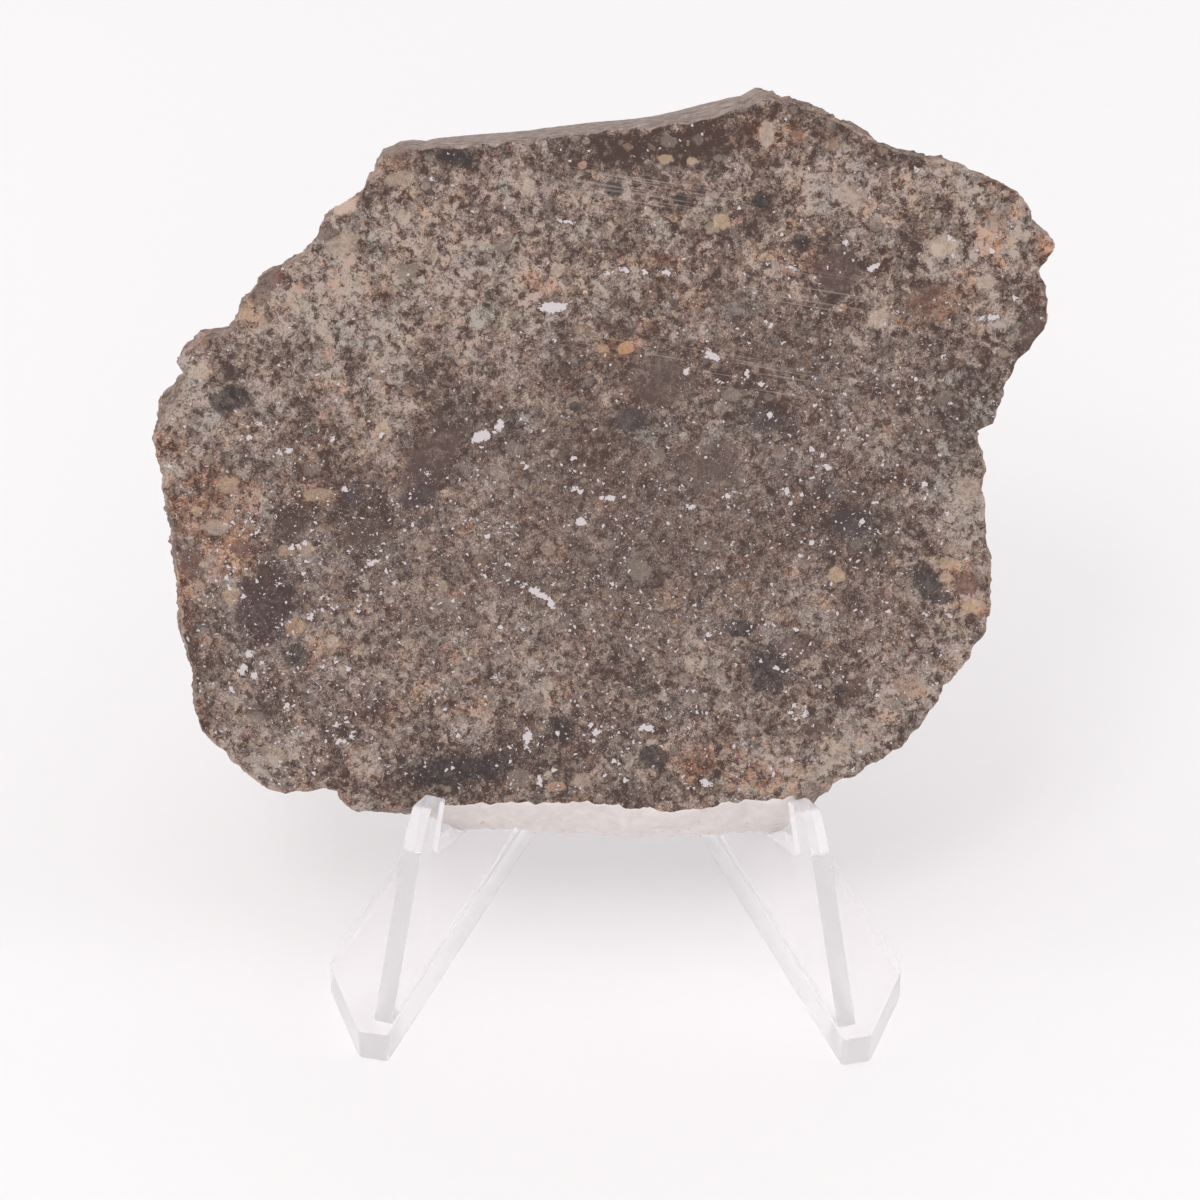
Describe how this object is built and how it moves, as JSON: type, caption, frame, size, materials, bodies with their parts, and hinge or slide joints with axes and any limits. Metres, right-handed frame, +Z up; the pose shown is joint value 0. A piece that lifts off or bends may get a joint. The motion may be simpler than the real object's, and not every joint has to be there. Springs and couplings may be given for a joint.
{
  "type": "chondrite meteorite slice on easel",
  "caption": "Sawn slice of a stony meteorite with a flat speckled face and a weathered rim, leaning in a small clear moulded easel.",
  "frame": {"origin": "on the table, under the middle of the whole object's box", "axes": "+Z up, +Y from the slice's sawn face to the back of the easel, +X to the right as seen from the front"},
  "size_m": [0.0694, 0.049, 0.0662],
  "materials": {
    "chondrite": "flat sawn face, semi-matt, with bright metal flecks; rough weathered rim",
    "clear_plastic": "clear moulded polystyrene, glossy"
  },
  "bodies": {
    "root": {"meteorite_slice": "chondrite", "display_easel": "clear_plastic"}
  },
  "joints": []
}
